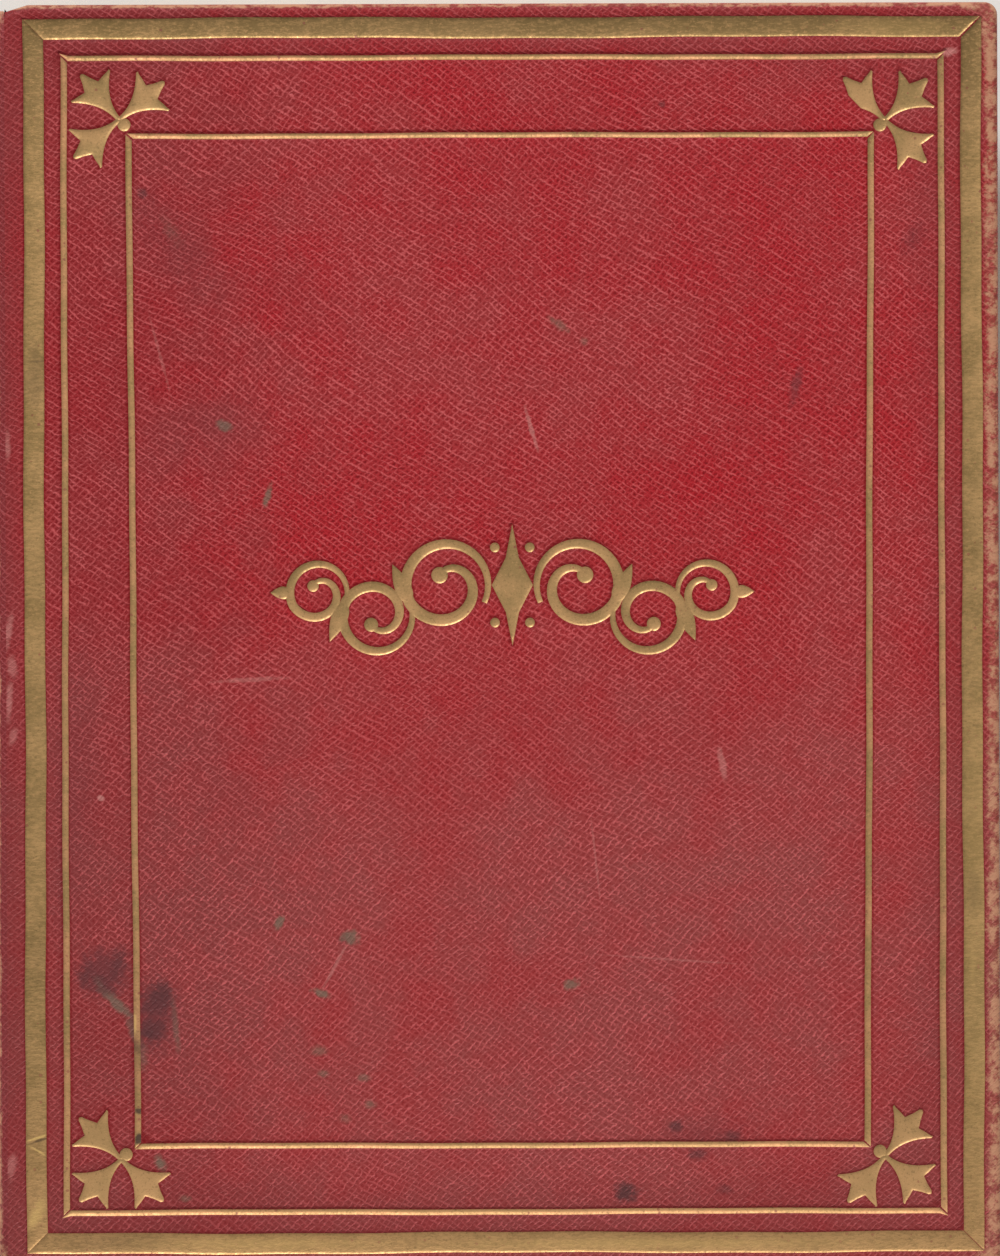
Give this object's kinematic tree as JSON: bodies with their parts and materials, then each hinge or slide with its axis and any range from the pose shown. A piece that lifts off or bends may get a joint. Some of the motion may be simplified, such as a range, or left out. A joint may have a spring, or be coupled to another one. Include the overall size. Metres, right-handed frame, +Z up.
{
  "type": "photograph album",
  "caption": "Leather-bound album of stiff window leaves turning on linen guards, with two hinged boards, gilt frames, corner tools and a scroll ornament.",
  "frame": {"origin": "middle of the album's underside, where it lies closed on its back cover", "axes": "+X from the spine to the fore-edge, +Y from tail to head, +Z up out of the front cover"},
  "size_m": [0.205, 0.253, 0.0351],
  "materials": {
    "millboard": "grey-brown millboard",
    "cover_leather": "red cross-grained leather, worn to tan along the edges",
    "spine_leather": "red leather, a little darker from handling",
    "endpaper": "glazed cream endpaper",
    "lining_card": "thin grey card",
    "stub_card": "ivory card",
    "core_card": "stiff pulp card",
    "mat_card": "ivory card with gilt edges",
    "linen": "plain woven linen",
    "silk": "red and cream worked silk",
    "gilt": "dull gold leaf pressed into leather"
  },
  "bodies": {
    "back_cover": {"back_board": "millboard", "back_leather": "cover_leather", "back_pastedown": "endpaper"},
    "back_flyleaf": {"back_flyleaf": "endpaper"},
    "block": {"stub_guards": "stub_card", "sewing_tapes": "linen", "sewing_thread": "linen", "spine_mull": "linen", "spine_lining": "lining_card", "spine_leather": "spine_leather", "spine_gilt_rules": "gilt", "head_band": "silk", "tail_band": "silk", "front_joint_leather": "spine_leather", "back_joint_leather": "spine_leather"},
    "front_cover": {"front_board": "millboard", "front_leather": "cover_leather", "front_pastedown": "endpaper", "front_gilt_band": "gilt", "front_outer_fillet": "gilt", "front_inner_fillet": "gilt", "front_corner_tools": "gilt", "front_centre_ornament": "gilt"},
    "front_flyleaf": {"front_flyleaf": "endpaper"},
    "leaf_1": {"leaf_1_core": "core_card", "leaf_1_upper_mat": "mat_card", "leaf_1_lower_mat": "mat_card", "leaf_1_guard": "linen"},
    "leaf_2": {"leaf_2_core": "core_card", "leaf_2_upper_mat": "mat_card", "leaf_2_lower_mat": "mat_card", "leaf_2_guard": "linen"},
    "leaf_3": {"leaf_3_core": "core_card", "leaf_3_upper_mat": "mat_card", "leaf_3_lower_mat": "mat_card", "leaf_3_guard": "linen"},
    "leaf_4": {"leaf_4_core": "core_card", "leaf_4_upper_mat": "mat_card", "leaf_4_lower_mat": "mat_card", "leaf_4_guard": "linen"},
    "leaf_5": {"leaf_5_core": "core_card", "leaf_5_upper_mat": "mat_card", "leaf_5_lower_mat": "mat_card", "leaf_5_guard": "linen"},
    "leaf_6": {"leaf_6_core": "core_card", "leaf_6_upper_mat": "mat_card", "leaf_6_lower_mat": "mat_card", "leaf_6_guard": "linen"},
    "leaf_7": {"leaf_7_core": "core_card", "leaf_7_upper_mat": "mat_card", "leaf_7_lower_mat": "mat_card", "leaf_7_guard": "linen"},
    "leaf_8": {"leaf_8_core": "core_card", "leaf_8_upper_mat": "mat_card", "leaf_8_lower_mat": "mat_card", "leaf_8_guard": "linen"}
  },
  "joints": [
    {"name": "back_joint", "type": "hinge", "parent": "back_cover", "child": "block", "pos_m": [-0.0975, 0, 0], "axis": [0, 1, 0], "range_deg": [-90, 0], "deforming": ["back_joint_leather"]},
    {"name": "front_joint", "type": "hinge", "parent": "block", "child": "front_cover", "pos_m": [-0.0975, 0, 0.0351], "axis": [0, -1, 0], "range_deg": [0, 180], "deforming": ["front_joint_leather"]},
    {"name": "back_flyleaf_fold", "type": "hinge", "parent": "back_cover", "child": "back_flyleaf", "pos_m": [-0.0956, 0, 0.0048], "axis": [0, 1, 0], "range_deg": [-9, 0]},
    {"name": "front_flyleaf_fold", "type": "hinge", "parent": "front_cover", "child": "front_flyleaf", "pos_m": [-0.0956, 0, 0.0303], "axis": [0, 1, 0], "range_deg": [0, 15]},
    {"name": "leaf_8_guard_fold", "type": "hinge", "parent": "block", "child": "leaf_8", "pos_m": [-0.08795, 0, 0.0067], "axis": [0, -1, 0], "range_deg": [0, 8]},
    {"name": "leaf_7_guard_fold", "type": "hinge", "parent": "block", "child": "leaf_7", "pos_m": [-0.08795, 0, 0.0098], "axis": [0, -1, 0], "range_deg": [0, 18]},
    {"name": "leaf_6_guard_fold", "type": "hinge", "parent": "block", "child": "leaf_6", "pos_m": [-0.08795, 0, 0.0129], "axis": [0, -1, 0], "range_deg": [0, 28]},
    {"name": "leaf_5_guard_fold", "type": "hinge", "parent": "block", "child": "leaf_5", "pos_m": [-0.08795, 0, 0.016], "axis": [0, -1, 0], "range_deg": [0, 38]},
    {"name": "leaf_4_guard_fold", "type": "hinge", "parent": "block", "child": "leaf_4", "pos_m": [-0.08795, 0, 0.0191], "axis": [0, -1, 0], "range_deg": [0, 49]},
    {"name": "leaf_3_guard_fold", "type": "hinge", "parent": "block", "child": "leaf_3", "pos_m": [-0.08795, 0, 0.0222], "axis": [0, -1, 0], "range_deg": [0, 61]},
    {"name": "leaf_2_guard_fold", "type": "hinge", "parent": "block", "child": "leaf_2", "pos_m": [-0.08795, 0, 0.0253], "axis": [0, -1, 0], "range_deg": [0, 76]},
    {"name": "leaf_1_guard_fold", "type": "hinge", "parent": "block", "child": "leaf_1", "pos_m": [-0.08795, 0, 0.0284], "axis": [0, -1, 0], "range_deg": [0, 118]}
  ],
  "couplings": [
    {"joint": "back_flyleaf_fold", "follows": "back_joint", "ratio": 0.1},
    {"joint": "front_flyleaf_fold", "follows": "front_joint", "ratio": 0.083333},
    {"joint": "leaf_8_guard_fold", "follows": "front_joint", "ratio": 0.044444},
    {"joint": "leaf_7_guard_fold", "follows": "front_joint", "ratio": 0.1},
    {"joint": "leaf_6_guard_fold", "follows": "front_joint", "ratio": 0.15556},
    {"joint": "leaf_5_guard_fold", "follows": "front_joint", "ratio": 0.21111},
    {"joint": "leaf_4_guard_fold", "follows": "front_joint", "ratio": 0.27222},
    {"joint": "leaf_3_guard_fold", "follows": "front_joint", "ratio": 0.33889},
    {"joint": "leaf_2_guard_fold", "follows": "front_joint", "ratio": 0.42222},
    {"joint": "leaf_1_guard_fold", "follows": "front_joint", "ratio": 0.65556}
  ]
}
